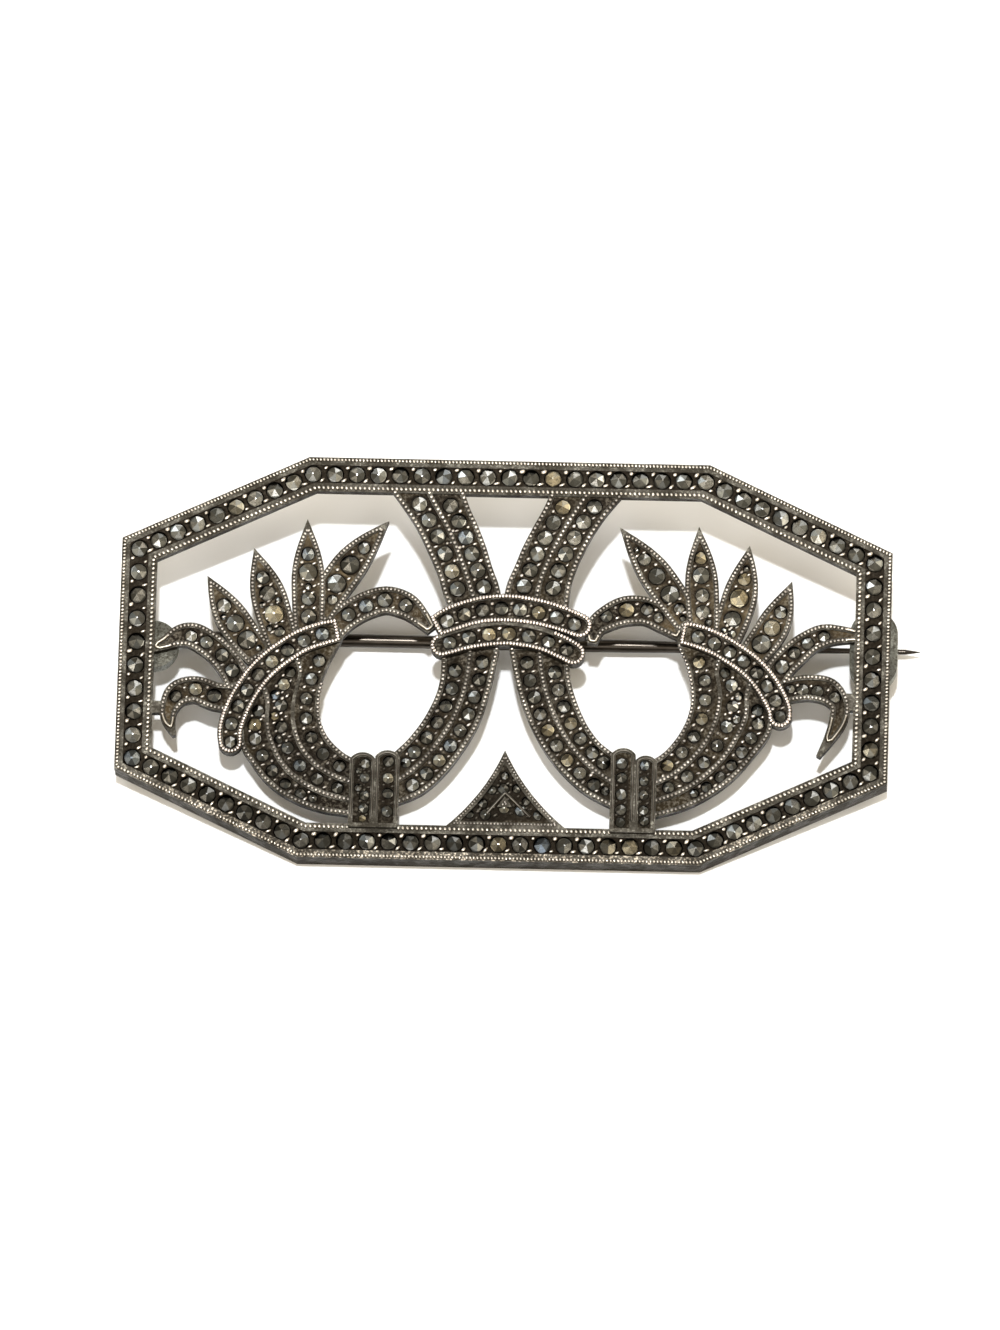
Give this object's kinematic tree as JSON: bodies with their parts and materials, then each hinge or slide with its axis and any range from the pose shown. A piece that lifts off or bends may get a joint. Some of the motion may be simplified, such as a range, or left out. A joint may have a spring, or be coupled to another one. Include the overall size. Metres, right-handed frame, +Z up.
{
  "type": "brooch",
  "caption": "Octagonal openwork silver bar brooch: horns of leaves tied with a knot, set with small faceted grey stones, hinged pin and catch behind.",
  "frame": {"origin": "middle of the bounding box, on the surface that the brooch lies on", "axes": "+X along the brooch towards the pin's point, +Y towards the upper bar, +Z up out of the face; lies face up on its hinge, its catch and the lower bar, so the face leans about 9 degrees"},
  "size_m": [0.0602, 0.0314, 0.007],
  "materials": {
    "silver": "oxidised silver, worn bright on the rims",
    "stone": "polished dark grey marcasite, faceted",
    "steel": "dark polished wire"
  },
  "bodies": {
    "brooch": {"silver_openwork": "silver", "hinge_rivet": "steel", "frame_stones": "stone", "band_stones": "stone", "tie_stones": "stone", "tail_stones": "stone", "horn_stones": "stone", "mouth_stones": "stone", "leaf_stones": "stone"},
    "pin": {"pin_stem": "steel"}
  },
  "joints": [
    {"name": "pin_swing", "type": "hinge", "parent": "brooch", "child": "pin", "pos_m": [-0.0284, 0.00293, 0.00105], "axis": [0, 0.987, 0.1608], "range_deg": [0, 90]}
  ]
}
